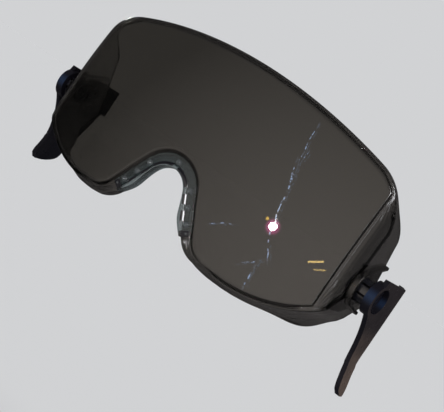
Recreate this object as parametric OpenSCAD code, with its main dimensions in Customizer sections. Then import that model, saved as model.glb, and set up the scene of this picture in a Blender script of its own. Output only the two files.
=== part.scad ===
// Safety eyewear that hangs inside a helmet: a one-piece smoked wrap lens with a soft nose bridge,
// carried on two black arms that tilt on ratchet bushings in the lens's side panels.
// Millimetres. X runs to the viewer's right, Y runs back towards the wearer, Z is up.
// The origin is the middle of the tilt axis, which runs along X through both bushings.

/* [Lens] */
// Width over the outsides of the two side panels
lens_w = 164; // [158:1:172]
// Height of the lens's top edge above the tilt axis
lens_rise = 52.2; // [48:0.2:56]
// Depth of the lens's two bottom lobes below the tilt axis
lens_drop = 28.9; // [27.5:0.1:31]
// Distance from the tilt axis forward to the front of the lens
lens_reach = 26; // [24:0.5:30]
// Radius of the domed front
dome_r = 260; // [240:5:300]
// Radius of the rounded corner between the front and a side panel
corner_r = 9.5; // [8:0.5:12]
// Wall thickness of the lens
lens_wall = 2.2; // [1.8:0.1:2.8]
// Depth of the rim that turns back behind the front
rim_depth = 3.2; // [2:0.1:5]
// Radius of the top edge, seen from the front
top_edge_r = 260; // [220:10:360]
// Radius of the two top corners, seen from the front
top_corner_r = 22; // [18:1:28]
// Radius of each bottom lobe, seen from the front
lobe_r = 60; // [56:1:64]
// Distance of each lobe's lowest point from the middle
lobe_x = 41; // [38:0.5:44]
// Slope of the lower side edge from upright, in degrees
cheek_angle = 13; // [8:1:18]
// Radius where the side edge turns into the lower side edge
cheek_top_r = 12; // [8:1:16]
// Radius where the lower side edge turns into the lobe
cheek_low_r = 5; // [4:0.5:7]
// Height of the straight side edge's lower end, measured below the tilt axis
cheek_drop = 5; // [3:0.5:7]

/* [Window] */
// Width of the plain band between the window and the lens's outer edge
window_inset = 2.2; // [1.8:0.1:3]
// Radius of the lens's corner that the window's top corners would follow
window_corner_r = 19; // [17:1:22]
// Width of the plain band between the window and the nose cut-out
window_nose_inset = 5; // [4.4:0.1:6]
// Height by which the window stands forward of the band
window_step = 0.6; // [0.3:0.1:1]

/* [Nose cut-out and bridge] */
// Radius of the arch at the top of the nose cut-out
nose_r = 11; // [10:0.5:12.5]
// Height of the arch's centre above the lens's lowest edge
nose_rise = 16; // [15.2:0.1:16.6]
// Slope of the cut-out's two legs from upright, in degrees
nose_leg_angle = 29; // [27:1:32]
// Radius of the lens where each leg turns into the bottom edge
nose_corner_r = 12.5; // [11:0.5:13.5]
// Length of the bridge down each leg, from the end of the arch
bridge_leg = 18; // [15:0.5:19]
// Thickness of the bridge's nose wall
bridge_wall = 1.6; // [1.2:0.1:2.4]
// Depth of the nose wall, front to back
bridge_depth = 9; // [7:0.5:12]
// Width of the bridge's flange behind the lens
bridge_flange_w = 4.2; // [3.6:0.1:4.8]
// Thickness of the flange
bridge_flange_t = 1.6; // [1.2:0.1:2.2]
// Radius of the studs that hold the bridge
stud_r = 1; // [0.8:0.1:1.2]
// Radius of the studs' round heads
stud_head_r = 1.3; // [1.2:0.1:1.5]
// Height of the studs' heads
stud_head_h = 0.6; // [0.4:0.1:0.9]
// Distance of the studs from the edge of the nose cut-out
stud_inset = 2; // [1.7:0.1:2.4]
// Distance between neighbouring studs on a leg
stud_pitch = 6.6; // [5.6:0.2:7.2]
// Number of studs on each leg
leg_studs = 3; // [2:1:3]

/* [Side panels] */
// Distance of the panel's rearmost point behind the tilt axis
panel_reach = 18.2; // [17:0.2:22]
// Depth of the panel's rearmost point below the tilt axis
panel_tip_drop = 3.1; // [1:0.1:5]
// Distance of the panel's top rear corner behind the tilt axis
panel_top_y = 7; // [5:0.5:9]
// Height of the panel's top rear corner above the tilt axis
panel_top_z = 26.6; // [24:0.2:29]
// Height of the ribs on the outside of the panel
rib_h = 2.4; // [1.6:0.1:2.8]
// Width of the ribs
rib_w = 1.8; // [1.4:0.1:2.2]
// Radius of the rib round the bushing, at its middle
rib_ring_r = 7.4; // [7.2:0.1:8]
// Slope of the upper rib above level, in degrees
upper_rib_angle = 20; // [14:1:26]
// Length of the upper rib
upper_rib_len = 17.5; // [15:0.5:19]
// Slope of the lower rib below level, in degrees
lower_rib_angle = 8; // [4:1:14]
// Length of the lower rib
lower_rib_len = 18.5; // [16:0.5:20]

/* [Ratchet bushings] */
// Radius of the toothed barrel outside the panel
barrel_r = 5.2; // [5:0.1:5.4]
// Length of the toothed barrel
barrel_len = 5.7; // [5:0.1:6.5]
// Radius of the bushing where it passes through the panel
neck_r = 4.6; // [4.4:0.1:4.8]
// Radius of the spigot that the arm turns on
spigot_r = 4.5; // [4.3:0.1:4.7]
// Radius of the bushing's bore
bushing_bore_r = 3.7; // [3.4:0.1:3.8]
// Number of slots between the teeth
tooth_slots = 8; // [6:1:10]
// Width of a slot
slot_w = 1; // [0.8:0.1:1.2]
// Length of the plain ring at the foot of the teeth
tooth_foot = 1.4; // [1:0.1:2]
// Radius of the flange inside the panel
flange_r = 5.1; // [5:0.1:5.6]
// Thickness of that flange
flange_t = 0.8; // [0.6:0.1:1.2]
// Distance of the stop peg from the tilt axis
peg_offset = 7.45; // [7.3:0.05:7.8]
// Direction of the stop peg above straight back, in degrees
peg_angle = 22; // [16:1:28]
// Radius of the stop peg
peg_r = 1.3; // [1.1:0.1:1.4]
// Radius of the stop peg's ring inside the panel
peg_ring_r = 2.6; // [2.5:0.1:2.9]
// Radius of the hole cored in the stop peg
peg_core_r = 0.8; // [0.6:0.1:0.9]

/* [Arms] */
// Depth of the hub, from the bushing's shoulder to the outside of the plate
hub_depth = 4.5; // [4.4:0.1:6]
// Thickness of the plate
arm_t = 2; // [1.6:0.1:2.4]
// Radius of the hub
hub_r = 7.1; // [7:0.1:7.8]
// Radius of the round pocket in the outside of the plate
pocket_r = 5.4; // [5.2:0.1:5.8]
// Depth of the pocket
pocket_depth = 2.8; // [2.4:0.1:2.8]
// Lean of the plate outwards towards the back, in degrees
arm_splay = 4; // [2:0.5:6]
// Distance from the tilt axis back to the plate's bend
bend_s = 15.6; // [14.6:0.2:17]
// Slope of the plate inwards behind the bend, in degrees
tab_angle = 21; // [14:1:26]
// Length of the helmet tab behind the bend
tab_len = 16; // [14:0.5:20]
// Height of the tab's top edge above the tilt axis
tab_top = 8.6; // [8.4:0.1:10]
// Depth of the tab's bottom edge below the tilt axis
tab_drop = 5.1; // [4.5:0.1:6]
// Depth of the lever's tip below the tilt axis
lever_drop = 39.6; // [37:0.2:44]
// Depth below the tilt axis at which the lever turns outwards
kink_drop = 27; // [25:0.5:29]
// Angle by which the lever's tip turns outwards, in degrees
kink_angle = 13; // [8:1:18]
// Distance of the lever's tip behind the tilt axis
tip_front = 8.3; // [6:0.1:10]
// Width of the lever's tip
tip_w = 13.7; // [12:0.1:15]
// Radius of the lever's rounded rear tip
tip_r = 7; // [5:0.5:7.5]
// Bevel on the lever's front tip
tip_bevel = 2; // [1:0.5:3]
// Radius of the lever's hollow front edge
lever_front_r = 36; // [32:1:44]
// Length of the tab beyond the lever's rear edge
tab_step = 2.4; // [1:0.2:4]
// Turn of the arms on their bushings as shown, in degrees
arm_lift = 2; // [0:0.5:4]
// Largest turn of an arm on its bushing either way, in degrees
arm_travel = 24; // [18:1:30]

/* [Pivot pins] */
// Radius of the pin's head, at the bottom of the pocket
pin_head_r = 5.1; // [5:0.1:5.3]
// Thickness of the head
pin_head_t = 0.6; // [0.5:0.1:0.8]
// Radius of the small dimple in the head
pin_dimple_r = 0.5; // [0.3:0.1:0.8]
// Width of the slot in the pin's inner end
pin_slot_w = 0.9; // [0.7:0.1:1.2]

/* [Fits] */
// Radial clearance of the arm on its spigot
running_clearance = 0.06; // [0.03:0.01:0.1]
// Clearance between pieces that are pushed together
push_clearance = 0.05; // [0.03:0.01:0.08]
// Clearance between pieces that move past each other
moving_clearance = 0.3; // [0.25:0.05:0.4]

/* [Hidden] */
$fn = 72;

smoke = [0.30, 0.30, 0.31, 0.6];
clear_grey = [0.62, 0.66, 0.66, 0.6];
black = [0.08, 0.08, 0.09];

side_x = lens_w / 2;
dome_y = dome_r - lens_reach;
corner_angle = asin((side_x - corner_r) / (dome_r - corner_r));
corner_back = (dome_r - corner_r) * cos(corner_angle);
crease_x = dome_r * sin(corner_angle);
body_back = panel_reach + 10;
sweep = 17;
overlap = 1;
nose_z = nose_rise - lens_drop;
top_z = lens_rise - top_edge_r;

panel_in_x = side_x - lens_wall;
shoulder_x = side_x + barrel_len;
arm_x = shoulder_x + hub_depth;
hub_in_x = shoulder_x + moving_clearance;
pocket_x = arm_x - pocket_depth;
spigot_x = pocket_x - push_clearance;
peg_end_x = hub_in_x + 1;
peg_y = peg_offset * cos(peg_angle);
peg_z = peg_offset * sin(peg_angle);
peg_swing = arm_travel + asin((peg_r + moving_clearance) / peg_offset);
bend_x = arm_x + bend_s * sin(arm_splay);
bend_y = bend_s * cos(arm_splay);

// A round stretch of an outline is its middle, radius, first angle and last angle
function arc_point(a, angle) = a[0] + a[1] * [cos(angle), sin(angle)];
function corner(point) = [point, 0, 0, 0];
function flipped(arcs) =
    [for (i = [len(arcs) - 1:-1:0]) let (a = arcs[i]) [[-a[0][0], a[0][1]], a[1], 180 - a[3], 180 - a[2]]];

// Largest gap between a true arc and the straight steps that stand for it in an outline
arc_error = 0.04;

function arc_steps(a) = max(2, ceil(abs(a[3] - a[2]) / (2 * acos(1 - arc_error / a[1]))));
function arc_path(a) =
    a[1] == 0 ? [a[0]]
    : let (n = arc_steps(a)) [for (i = [0:n]) arc_point(a, a[2] + (a[3] - a[2]) * i / n)];

module rounded(arcs) {
    polygon([for (a = arcs) each arc_path(a)]);
}

// Y of the domed front at a place seen from the front, moved inwards by inset
function dome_at(x, z, inset) = dome_y - sqrt(pow(dome_r - inset, 2) - x * x - z * z);

// Right half of the lens's outline seen from the front, from the top down to the nose cut-out.
// Each round stretch is tangent to the next, so the outline stays smooth at any inset.
function half_outline(inset, nose_inset, top_r = top_corner_r) =
    let (
        corner_x = side_x - top_r,
        corner_z = top_z + sqrt(pow(top_edge_r - top_r, 2) - corner_x * corner_x),
        top_a = atan2(corner_z - top_z, corner_x),
        cheek_c = [side_x - cheek_top_r, -cheek_drop],
        cheek_n = [cos(cheek_angle), -sin(cheek_angle)],
        lobe_c = [lobe_x, lobe_r - lens_drop],
        cheek_line = cheek_n * cheek_c + cheek_top_r,
        low_a = -cheek_angle - acos((cheek_line - cheek_low_r - cheek_n * lobe_c) / (lobe_r - cheek_low_r)),
        low_c = lobe_c + (lobe_r - cheek_low_r) * [cos(low_a), sin(low_a)],
        turn_r = nose_corner_r - inset,
        arch_r = nose_r + nose_inset,
        turn_z = -lens_drop + nose_corner_r,
        turn_x = (arch_r + turn_r - sin(nose_leg_angle) * (turn_z - nose_z)) / cos(nose_leg_angle)
    )
    [
        [[corner_x, corner_z], top_r - inset, top_a, 0],
        [cheek_c, cheek_top_r - inset, 0, -cheek_angle],
        [low_c, cheek_low_r - inset, -cheek_angle, low_a],
        [lobe_c, lobe_r - inset, low_a, -90],
        [[turn_x, turn_z], turn_r, -90, nose_leg_angle - 180]
    ];

function top_arc(inset, top_r = top_corner_r) =
    let (a = half_outline(inset, 0, top_r)[0][2])
    [[0, top_z], top_edge_r - inset, 180 - a, a];
function nose_arc(inset) = [[0, nose_z], nose_r + inset, nose_leg_angle, 180 - nose_leg_angle];

// Point at a distance down the right leg of the nose cut-out, moved outwards from its edge by inset
function leg_point(inset, along) =
    arc_point(nose_arc(inset), nose_leg_angle) + along * [sin(nose_leg_angle), -cos(nose_leg_angle)];

// Places of the studs: one at the top of the arch and a row down each leg
stud_spots = concat(
    [[0, nose_z + nose_r + stud_inset]],
    [for (side = [-1, 1]) for (i = [0:leg_studs - 1])
        let (spot = leg_point(stud_inset, i * stud_pitch))
        [side * spot[0], spot[1]]]
);

// Lens and nose bridge

// Section of the dome through the middle of its corners, back to a distance behind the tilt axis
module dome_profile(inset, back) {
    far = 2 * dome_r;
    difference() {
        union() {
            intersection() {
                circle(r = dome_r - inset, $fn = 240);
                polygon([[0, 0], far * [cos(corner_angle), sin(corner_angle)],
                         far * [cos(corner_angle), -sin(corner_angle)]]);
            }
            for (side = [-1, 1]) translate([corner_back, side * (side_x - corner_r)])
                circle(r = corner_r - inset);
            translate([0, inset - side_x]) square([corner_back, 2 * (side_x - inset)]);
        }
        translate([-far, -far]) square([far + dome_y - back, 2 * far]);
    }
}

// Solid behind the domed front, its rounded corners and its flat sides, all moved inwards by inset
module dome_body(inset, back) {
    translate([0, dome_y, 0]) rotate([-90, 0, 0]) rotate([0, 90, 0]) rotate([0, 0, -sweep])
        rotate_extrude(angle = 2 * sweep, $fn = 240) dome_profile(inset, back);
}

// What lies behind a shape seen from the front
module front_prism() {
    depth = lens_reach + body_back + 20;
    translate([0, body_back + 10, 0]) rotate([90, 0, 0]) linear_extrude(depth) children();
}

module outline_prism(inset, nose_inset, top_r = top_corner_r) {
    half = half_outline(inset, nose_inset, top_r);
    front_prism()
        rounded(concat([top_arc(inset, top_r)], half, [nose_arc(nose_inset)], flipped(half)));
}

// Rear edge of the side panels and of the lower rim, seen from the side
module rear_edge_cut() {
    far = 80;
    edge = [
        [-14, far], [-14, lens_rise + 4], [-8, lens_rise - 15], [-6, panel_top_z + 5.2],
        [panel_top_y, panel_top_z],
        [panel_reach - 4.5, 9.7], [panel_reach, -panel_tip_drop], [panel_reach - 1.7, -9],
        [9.5, -20], [-13.4, -lens_drop - 0.1], [-16, -far]
    ];
    for (side = [0, 1]) mirror([side, 0, 0])
        translate([lobe_x + 4, 0, 0]) rotate([90, 0, 90]) linear_extrude(far)
            polygon(concat(edge, [[far, -far], [far, far]]));
}

module rear_middle_cut() {
    intersection() {
        dome_body(lens_wall + rim_depth, body_back + 5);
        cube([2 * (lobe_x + 4), 200, 200], center = true);
    }
}

// The horseshoe round each bushing and the two ribs that run from it to the rear edge
module rib_outline() {
    upper = rib_ring_r * [-sin(upper_rib_angle), cos(upper_rib_angle)];
    lower = rib_ring_r * [-sin(lower_rib_angle), -cos(lower_rib_angle)];
    difference() {
        circle(r = rib_ring_r + rib_w / 2);
        circle(r = rib_ring_r - rib_w / 2);
        polygon([[0, 0], 3 * upper, [30, 30], [30, -30], 3 * lower]);
    }
    translate(upper) rotate(upper_rib_angle) {
        translate([0, -rib_w / 2]) square([upper_rib_len, rib_w]);
        translate([upper_rib_len, 0]) circle(r = rib_w * 0.7);
    }
    translate(lower) rotate(-lower_rib_angle) translate([0, -rib_w / 2]) square([lower_rib_len, rib_w]);
}

module panel_ribs() {
    for (side = [0, 1]) mirror([side, 0, 0])
        translate([side_x - overlap, 0, 0]) rotate([90, 0, 90]) linear_extrude(overlap + rib_h) rib_outline();
}

module window_panel() {
    intersection() {
        difference() {
            dome_body(-window_step, 0);
            dome_body(lens_wall / 2, 5);
        }
        outline_prism(window_inset, window_nose_inset, window_corner_r);
        cube([2 * crease_x, 200, 200], center = true);
    }
}

module bushing_holes() {
    for (side = [0, 1]) mirror([side, 0, 0]) translate([panel_in_x - overlap, 0, 0]) rotate([0, 90, 0]) {
        cylinder(r = neck_r + push_clearance, h = lens_wall + 2 * overlap);
        translate([-peg_z, peg_y, 0]) cylinder(r = peg_r + push_clearance, h = lens_wall + 2 * overlap);
    }
}

module stud_holes() {
    for (spot = stud_spots) translate([spot[0], 0, spot[1]]) rotate([90, 0, 0])
        cylinder(r = stud_r + push_clearance, h = lens_reach + 10, $fn = 32);
}

module lens_shell() {
    color(smoke) difference() {
        union() {
            difference() {
                intersection() {
                    dome_body(0, body_back);
                    outline_prism(0, 0);
                }
                intersection() {
                    dome_body(lens_wall, body_back + 5);
                    outline_prism(lens_wall, lens_wall);
                }
                intersection() {
                    dome_body(lens_wall, body_back + 6);
                    front_prism() nose_area(bridge_flange_w + moving_clearance, bridge_leg + moving_clearance);
                }
                rear_middle_cut();
                rear_edge_cut();
            }
            window_panel();
            panel_ribs();
        }
        bushing_holes();
        stud_holes();
    }
}

module nose_area(inset, leg) {
    foot = leg_point(inset, leg);
    heel = leg_point(inset - 10, leg);
    rounded([
        corner(foot),
        [[0, nose_z], nose_r + inset, nose_leg_angle, 180 - nose_leg_angle],
        corner([-foot[0], foot[1]]), corner([-heel[0], heel[1]]), corner(heel)
    ]);
}

// Strip along the nose cut-out between two distances from its edge
module nose_strip(low, high) {
    front_prism() difference() {
        nose_area(high, bridge_leg);
        nose_area(low, bridge_leg + 5);
    }
}

// Layer that follows the front of the lens, with a thickness measured straight back
module dome_layer(front, thickness) {
    difference() {
        dome_body(front, thickness);
        translate([0, thickness, 0]) dome_body(front, thickness + 5);
    }
}

module nose_bridge() {
    flange_front = lens_wall + push_clearance;
    color(clear_grey) difference() {
        union() {
            intersection() {
                dome_layer(window_step, bridge_depth);
                nose_strip(-push_clearance - bridge_wall, -push_clearance);
            }
            intersection() {
                dome_layer(flange_front, bridge_flange_t);
                nose_strip(-push_clearance - bridge_wall, bridge_flange_w);
            }
        }
        for (spot = stud_spots)
            translate([spot[0], dome_at(spot[0], spot[1], 0) + 20, spot[1]]) rotate([90, 0, 0])
                cylinder(r = stud_r + push_clearance, h = 40, $fn = 32);
    }
}

// Each stud has a round head in front of the lens and a shank through the lens and the flange
module bridge_studs() {
    color(clear_grey) for (spot = stud_spots) {
        slope = norm(spot) / dome_r;
        front = dome_at(spot[0], spot[1], 0) - push_clearance - stud_head_r * slope;
        shank = lens_wall + bridge_flange_t + 3 * push_clearance;
        translate([spot[0], front, spot[1]]) rotate([90, 0, 0])
            cylinder(r = stud_head_r, h = stud_head_h, $fn = 32);
        translate([spot[0], front + shank, spot[1]]) rotate([90, 0, 0])
            cylinder(r = stud_r, h = shank + stud_head_h / 2, $fn = 32);
    }
}

// Bushing, pin and arm, drawn on the right; the left ones are their mirror images

// Cylinder along X from one place to another
module along_x(r, from, to) {
    translate([from, 0, 0]) rotate([0, 90, 0]) cylinder(r = r, h = to - from);
}

module bushing() {
    flange_in = panel_in_x - flange_t - push_clearance;
    difference() {
        union() {
            along_x(flange_r, flange_in, panel_in_x - push_clearance);
            along_x(neck_r, flange_in, side_x + overlap);
            along_x(barrel_r, side_x + push_clearance, shoulder_x);
            along_x(spigot_r, shoulder_x - overlap, spigot_x);
            translate([0, peg_y, peg_z]) {
                along_x(peg_ring_r, flange_in, panel_in_x - push_clearance);
                along_x(peg_r, flange_in, peg_end_x);
            }
        }
        along_x(bushing_bore_r, flange_in - overlap, spigot_x + overlap);
        translate([0, peg_y, peg_z]) along_x(peg_core_r, flange_in - overlap, side_x);
        for (i = [0:tooth_slots - 1]) rotate([i * 360 / tooth_slots + 17, 0, 0])
            translate([side_x + tooth_foot, 0, -slot_w / 2]) cube([spigot_x - side_x, barrel_r + overlap, slot_w]);
    }
}

module pivot_pin() {
    inner_x = panel_in_x;
    head_x = pocket_x + push_clearance;
    difference() {
        union() {
            along_x(bushing_bore_r - push_clearance, inner_x, head_x + pin_head_t / 2);
            along_x(pin_head_r, head_x, head_x + pin_head_t);
        }
        translate([inner_x - overlap, -bushing_bore_r, -pin_slot_w / 2])
            cube([overlap + pin_slot_w, 2 * bushing_bore_r, pin_slot_w]);
        translate([head_x + pin_head_t, 0, 0]) sphere(r = pin_dimple_r, $fn = 24);
    }
}

// The arm seen from outside, with its length running back from the tilt axis
module arm_profile() {
    tab_end = bend_y + tab_len * cos(tab_angle);
    rounded([
        corner([-hub_r * 0.55, hub_r * 0.75]), corner([-3, tab_top]), corner([tab_end, tab_top]),
        corner([tab_end, -tab_drop]), corner([tab_end - tab_step, -tab_drop]),
        [[tip_front + tip_w - tip_r, tip_r - lever_drop], tip_r, 8, -90],
        corner([tip_front + tip_bevel, -lever_drop]), corner([tip_front, tip_bevel - lever_drop]),
        [[tip_front - lever_front_r, -kink_drop - 5.5], lever_front_r, 0, 43],
        corner([-hub_r * 0.65, -hub_r * 0.65])
    ]);
}

// Plan view of the arm's outside face moved inwards by inset: plate, bend and tab
function face_line(inset) =
    let (
        turn = (tab_angle - arm_splay) / 2,
        knee = [bend_x, bend_y] - inset / cos((tab_angle + arm_splay) / 2) * [cos(turn), sin(turn)]
    )
    [knee - 60 * [sin(arm_splay), cos(arm_splay)], knee, knee + 60 * [-sin(tab_angle), cos(tab_angle)]];

module beside_face(inset, edge_x, low, high) {
    line = face_line(inset);
    translate([0, 0, low]) linear_extrude(high - low)
        polygon(concat(line, [[edge_x, line[2][1]], [edge_x, line[0][1]]]));
}

// Slice of the bent plate between two heights
module plate_slice(low, high) {
    difference() {
        beside_face(0, 0, low, high);
        beside_face(arm_t, -10, low - 5, high + 5);
    }
}

module arm() {
    inner_edge = arm_x - 5;
    rotate([arm_lift, 0, 0]) difference() {
        union() {
            intersection() {
                rotate([90, 0, 90]) linear_extrude(arm_x + 30) arm_profile();
                union() {
                    plate_slice(-kink_drop, 20);
                    translate([inner_edge, 0, -kink_drop]) rotate([0, -kink_angle, 0])
                        translate([-inner_edge, 0, 0]) plate_slice(-30, 0);
                }
            }
            intersection() {
                along_x(hub_r, hub_in_x, arm_x + 5);
                beside_face(0, 0, -20, 20);
            }
        }
        along_x(spigot_r + running_clearance, hub_in_x - overlap, arm_x);
        along_x(pocket_r, pocket_x, arm_x + 5);
        rotate([peg_angle - arm_lift, 0, 0]) stop_notch();
    }
}

// Room in the hub's rim for the stop peg over the whole travel
module stop_notch() {
    inner_r = peg_offset - peg_r - moving_clearance;
    translate([hub_in_x - overlap, 0, 0]) rotate([90, 0, 90])
        rotate([0, 0, -peg_swing]) rotate_extrude(angle = 2 * peg_swing)
            translate([inner_r, 0]) square([hub_r, overlap + peg_end_x - hub_in_x + moving_clearance]);
}

module left_bushing() { color(smoke) mirror([1, 0, 0]) bushing(); }
module right_bushing() { color(smoke) bushing(); }
module left_arm() { color(black) mirror([1, 0, 0]) arm(); }
module right_arm() { color(black) arm(); }
module left_pivot_pin() { color(black) mirror([1, 0, 0]) pivot_pin(); }
module right_pivot_pin() { color(black) pivot_pin(); }

lens_shell();
nose_bridge();
bridge_studs();
left_bushing();
right_bushing();
left_arm();
right_arm();
left_pivot_pin();
right_pivot_pin();
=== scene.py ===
"""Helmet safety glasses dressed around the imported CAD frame.

Metres, in the CAD frame: X to the viewer's right along the tilt axis, Y back towards the wearer, Z up.
"""
import math

import bmesh
import bpy
import numpy as np
from mathutils import Matrix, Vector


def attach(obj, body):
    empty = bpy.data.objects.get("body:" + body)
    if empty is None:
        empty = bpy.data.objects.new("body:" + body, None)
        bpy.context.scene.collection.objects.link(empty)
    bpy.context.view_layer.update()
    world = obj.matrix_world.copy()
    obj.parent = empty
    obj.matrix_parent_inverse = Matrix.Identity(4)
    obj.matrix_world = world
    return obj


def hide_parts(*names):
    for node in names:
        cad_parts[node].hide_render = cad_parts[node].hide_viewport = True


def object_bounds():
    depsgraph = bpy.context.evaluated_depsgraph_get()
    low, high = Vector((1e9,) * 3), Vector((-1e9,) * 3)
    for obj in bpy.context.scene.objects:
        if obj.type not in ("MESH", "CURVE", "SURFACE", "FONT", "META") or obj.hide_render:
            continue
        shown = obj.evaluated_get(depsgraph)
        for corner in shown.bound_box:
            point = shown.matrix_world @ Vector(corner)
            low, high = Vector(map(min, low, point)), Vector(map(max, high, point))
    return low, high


bl_info = {
    "name": "Helmet Safety Glasses",
    "version": (1, 0, 0),
    "blender": (4, 5, 0),
    "location": "View3D > Sidebar > Glasses",
    "description": "Smoked wrap lens with a soft nose bridge on two tilting arms",
    "category": "Add Mesh",
}

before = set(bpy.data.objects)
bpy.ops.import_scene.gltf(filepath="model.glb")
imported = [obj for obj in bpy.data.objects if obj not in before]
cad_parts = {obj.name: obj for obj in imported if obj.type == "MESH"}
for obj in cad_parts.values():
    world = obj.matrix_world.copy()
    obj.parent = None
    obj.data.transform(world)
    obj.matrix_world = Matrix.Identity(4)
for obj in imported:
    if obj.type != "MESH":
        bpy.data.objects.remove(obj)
cad_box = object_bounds()

MM = 0.001

# Levels of the studio's light: even light, the dim room in front, and gloss behind the object
WORLD_LEVEL = 0.45
ROOM_LEVEL = (0.02, 0.02, 0.02)
BEHIND_LEVEL = (0.09, 0.085, 0.085)

# Y of a gloss ray's direction where the level behind begins and where it is full
BEHIND_START = -0.1
BEHIND_STOP = 0.4

# Broad soft glow in front that only gloss shows: colour, turn, height, cosine at its rim, power of its fall
GLOW_LEVEL = (1.25, 1.14, 1.04)
GLOW_TURN = math.radians(12)
GLOW_RISE = math.radians(-12)
GLOW_RIM = 0.36
GLOW_FALL = 1.3

# Lamps: strength, spread, turn from straight in front towards the right, and height
LAMPS = {
    "Key": (1.5, math.radians(22), math.radians(54), math.radians(41)),
    "Front lamp": (1.2, math.radians(1.8), math.radians(-3.7), math.radians(-1.0)),
    "Side lamp": (0.8, math.radians(5), math.radians(-105), math.radians(20)),
}

# The floor's distance below the object, and half its width
FLOOR_GAP = 195 * MM
FLOOR_REACH = 30.0

# Long lamps that only gloss shows: directions of both ends, half the thickness and the colour.
# The first two are yellow bars in front, the third is an upright pale strip far to the right.
BARS = (
    ((0.1297, -0.9902, -0.0525), (0.1809, -0.9834, -0.0170), 0.0035, (17.0, 12.0, 4.5)),
    ((0.1663, -0.9839, -0.0648), (0.2055, -0.9779, -0.0398), 0.0016, (17.0, 12.0, 4.5)),
    ((0.6296, -0.6519, -0.4226), (0.6528, -0.6759, 0.3420), 0.035, (3.2, 3.2, 3.3)),
)

# Soft round lamps that only gloss shows: direction, inner and outer radius, colour.
# They are the glint's pink fringe, a small yellow spot beside it, and a pale lamp high on the right.
DISCS = (
    ((-0.0640, -0.9978, -0.0180), math.radians(0.9), math.radians(2.0), (7.0, 1.6, 3.6)),
    ((-0.1010, -0.9949, -0.0030), math.radians(0.05), math.radians(0.30), (14.0, 9.0, 2.0)),
    ((0.6053, -0.6582, 0.4478), math.radians(6.0), math.radians(11.0), (13.0, 13.0, 13.5)),
)


def length(name, description, millimetres):
    """Length property with its default given in millimetres."""
    return bpy.props.FloatProperty(name=name, description=description, default=millimetres * MM,
                                   subtype="DISTANCE", unit="LENGTH", precision=5)


def angle(name, description, degrees):
    """Angle property with its default given in degrees."""
    return bpy.props.FloatProperty(name=name, description=description, default=math.radians(degrees),
                                   subtype="ANGLE", unit="ROTATION")


def colour(name, description, rgb):
    """Colour property."""
    return bpy.props.FloatVectorProperty(name=name, description=description, default=rgb, subtype="COLOR",
                                         size=3, min=0.0, max=1.0)


def share(name, description, value):
    """Share between 0 and 1."""
    return bpy.props.FloatProperty(name=name, description=description, default=value, subtype="FACTOR",
                                   min=0.0, max=1.0)


class LensSizes(bpy.types.PropertyGroup):
    """Sizes of the one-piece wrap lens."""
    width: length("Width", "Width over the outsides of the two side panels", 164)
    rise: length("Rise", "Height of the top edge above the tilt axis", 52.2)
    drop: length("Drop", "Depth of the bottom lobes below the tilt axis", 28.9)
    reach: length("Reach", "Distance from the tilt axis forward to the front", 26)
    dome_r: length("Dome radius", "Radius of the domed front", 260)
    corner_r: length("Corner radius", "Radius between the front and a side panel", 9.5)
    wall: length("Wall", "Wall thickness", 2.2)
    rim_depth: length("Rim depth", "Depth of the rim that turns back behind the front", 3.2)
    top_edge_r: length("Top edge radius", "Radius of the top edge seen from the front", 260)
    top_corner_r: length("Top corner radius", "Radius of the two top corners", 22)
    lobe_r: length("Lobe radius", "Radius of each bottom lobe", 60)
    lobe_x: length("Lobe place", "Distance of each lobe's lowest point from the middle", 41)
    cheek_angle: angle("Cheek slope", "Slope of the lower side edge from upright", 13)
    cheek_top_r: length("Cheek top radius", "Radius where the side edge turns into the lower side edge", 12)
    cheek_low_r: length("Cheek low radius", "Radius where the lower side edge turns into the lobe", 5)
    cheek_drop: length("Cheek drop", "Depth of the straight side edge's lower end", 5)
    window_side: length("Window side", "Distance from the middle to the window's upright edges", 76.0)
    side_lean: length("Side lean", "How far the upright edges lean in at their lower ends", 0.1)
    window_inset: length("Window inset", "Plain band between the window and the outer edge", 2.2)
    window_corner_r: length("Window corner radius", "Radius that the window's top corners follow", 19)
    window_nose_inset: length("Window nose inset", "Plain band between the window and the nose", 6.2)
    window_step: length("Window step", "Height of the window above the band", 0.6)
    step_width: length("Step width", "Width of the rounded step round the window", 1.3)
    nose_step_width: length("Nose step width", "Width of that step round the nose", 1.8)
    band_recess: length("Band recess", "Depth of the band behind the dome", 0.9)
    ridge: length("Ridge", "Height of the three fine ridges along the band", 0.24)
    nose_r: length("Nose radius", "Radius of the arch of the nose cut-out", 11)
    nose_rise: length("Nose rise", "Height of the arch's centre above the lowest edge", 16)
    nose_leg_angle: angle("Nose leg slope", "Slope of the cut-out's legs from upright", 29)
    nose_corner_r: length("Nose corner radius", "Radius between a leg and the bottom edge", 12.5)
    edge_r: length("Edge radius", "Rounding of the moulded edges", 0.5)
    groove: length("Groove", "Depth of the fine lines along the flared lower rim", 0.16)
    flare: length("Flare", "Downward flare of the lower rim at its rear edge", 1.6)
    corner_flare: length("Corner flare", "Further flare at the two lower corners", 2.2)


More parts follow.
